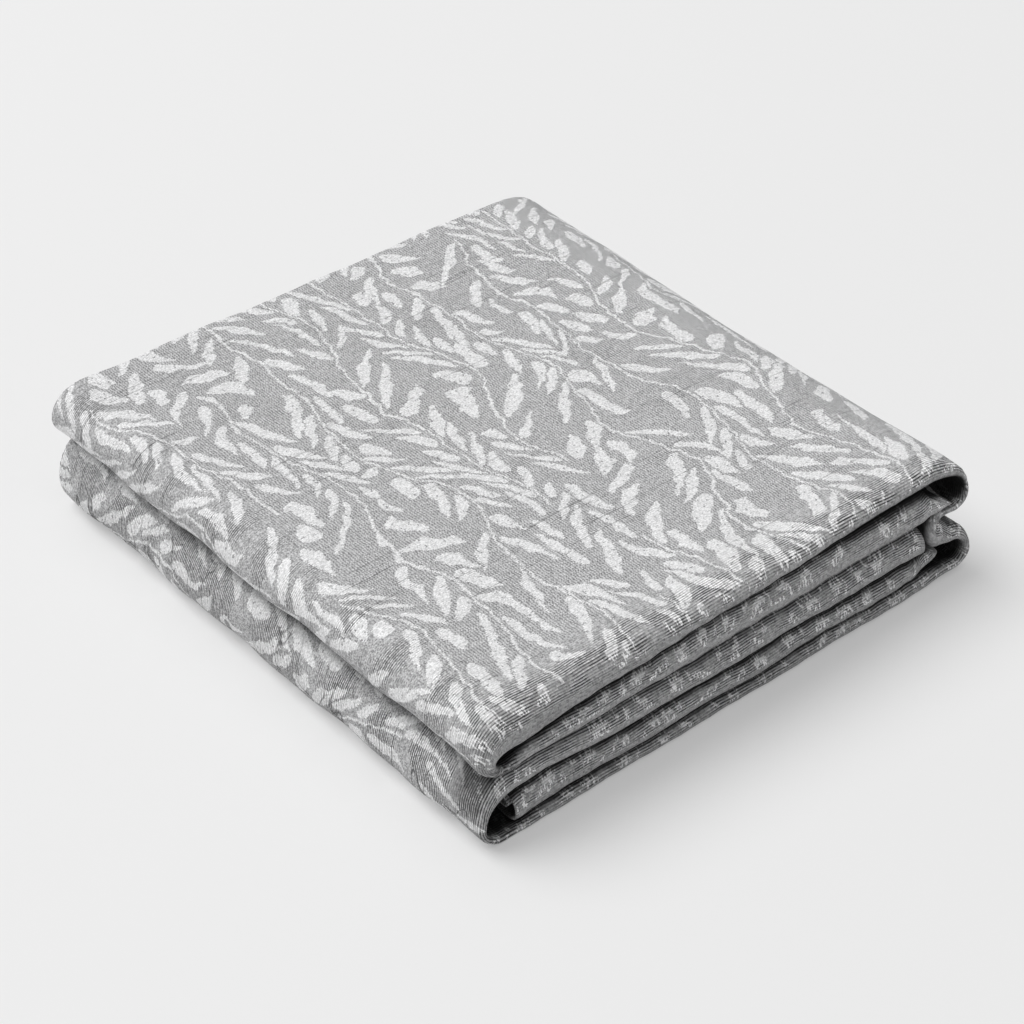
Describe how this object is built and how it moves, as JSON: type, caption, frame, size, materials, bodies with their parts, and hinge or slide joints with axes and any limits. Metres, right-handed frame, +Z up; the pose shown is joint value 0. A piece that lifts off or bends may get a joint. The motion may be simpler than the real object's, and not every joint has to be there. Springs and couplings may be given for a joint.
{
  "type": "folded tablecloth",
  "caption": "Jacquard tablecloth folded lengthwise into a strap, then back and forth into a low, nearly square stack with open front rolls.",
  "frame": {"origin": "centre of the folded stack's outline, on the surface it lies on", "axes": "+X along the folded strap, towards the notched right-hand folds; +Y from the front rolls to the back folds; +Z up"},
  "size_m": [0.307, 0.3176, 0.067],
  "materials": {
    "tablecloth": "matte grey jacquard weave with paler leaf sprigs"
  },
  "bodies": {
    "root": {"tablecloth": "tablecloth"}
  },
  "joints": []
}
